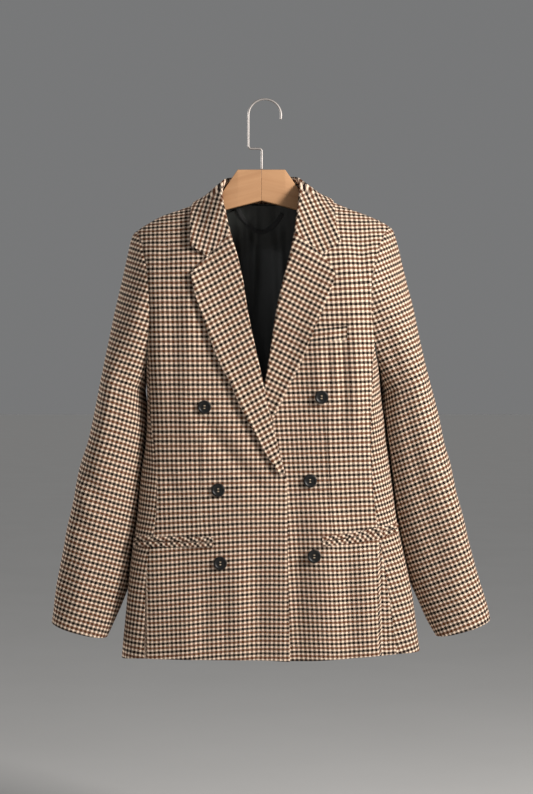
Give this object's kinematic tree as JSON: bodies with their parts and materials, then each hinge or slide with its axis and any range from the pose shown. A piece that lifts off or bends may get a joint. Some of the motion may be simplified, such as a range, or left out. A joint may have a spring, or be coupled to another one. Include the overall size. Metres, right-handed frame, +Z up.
{
  "type": "double breasted blazer on a wooden hanger",
  "caption": "Tailored double breasted jacket in a small check, with peaked lapels, jetted hip pockets and a breast welt, hung buttoned on a flat wooden hanger with a wire hook.",
  "frame": {"origin": "underside of the hook's bend, where the rail or nail touches it", "axes": "+Z up, -Y the front of the blazer, +X the wearer's left"},
  "size_m": [0.681, 0.1312, 0.8657],
  "materials": {
    "check_suiting": "soft wool blend in a small cream, black and rust check",
    "satin_lining": "black satin lining with a slight green cast",
    "black_tape": "plain woven tape",
    "black_button": "black, softly shining, with four holes",
    "beech": "satin varnished beech",
    "hook_steel": "bright nickel plated wire"
  },
  "bodies": {
    "root": {"front_right": "check_suiting", "side_right": "check_suiting", "back_right": "check_suiting", "top_sleeve_right": "check_suiting", "under_sleeve_right": "check_suiting", "lapel_right": "check_suiting", "pocket_right_upper_jet": "check_suiting", "pocket_right_lower_jet": "check_suiting", "hanger_right_half": "beech", "front_left": "check_suiting", "side_left": "check_suiting", "back_left": "check_suiting", "top_sleeve_left": "check_suiting", "under_sleeve_left": "check_suiting", "lapel_left": "check_suiting", "pocket_left_upper_jet": "check_suiting", "pocket_left_lower_jet": "check_suiting", "hanger_left_half": "beech", "collar": "check_suiting", "breast_welt": "check_suiting", "button_1": "black_button", "button_2": "black_button", "button_3": "black_button", "button_4": "black_button", "button_5": "black_button", "button_6": "black_button", "lining_back": "satin_lining", "neck_tape": "black_tape", "hanger_hook": "hook_steel"}
  },
  "joints": []
}
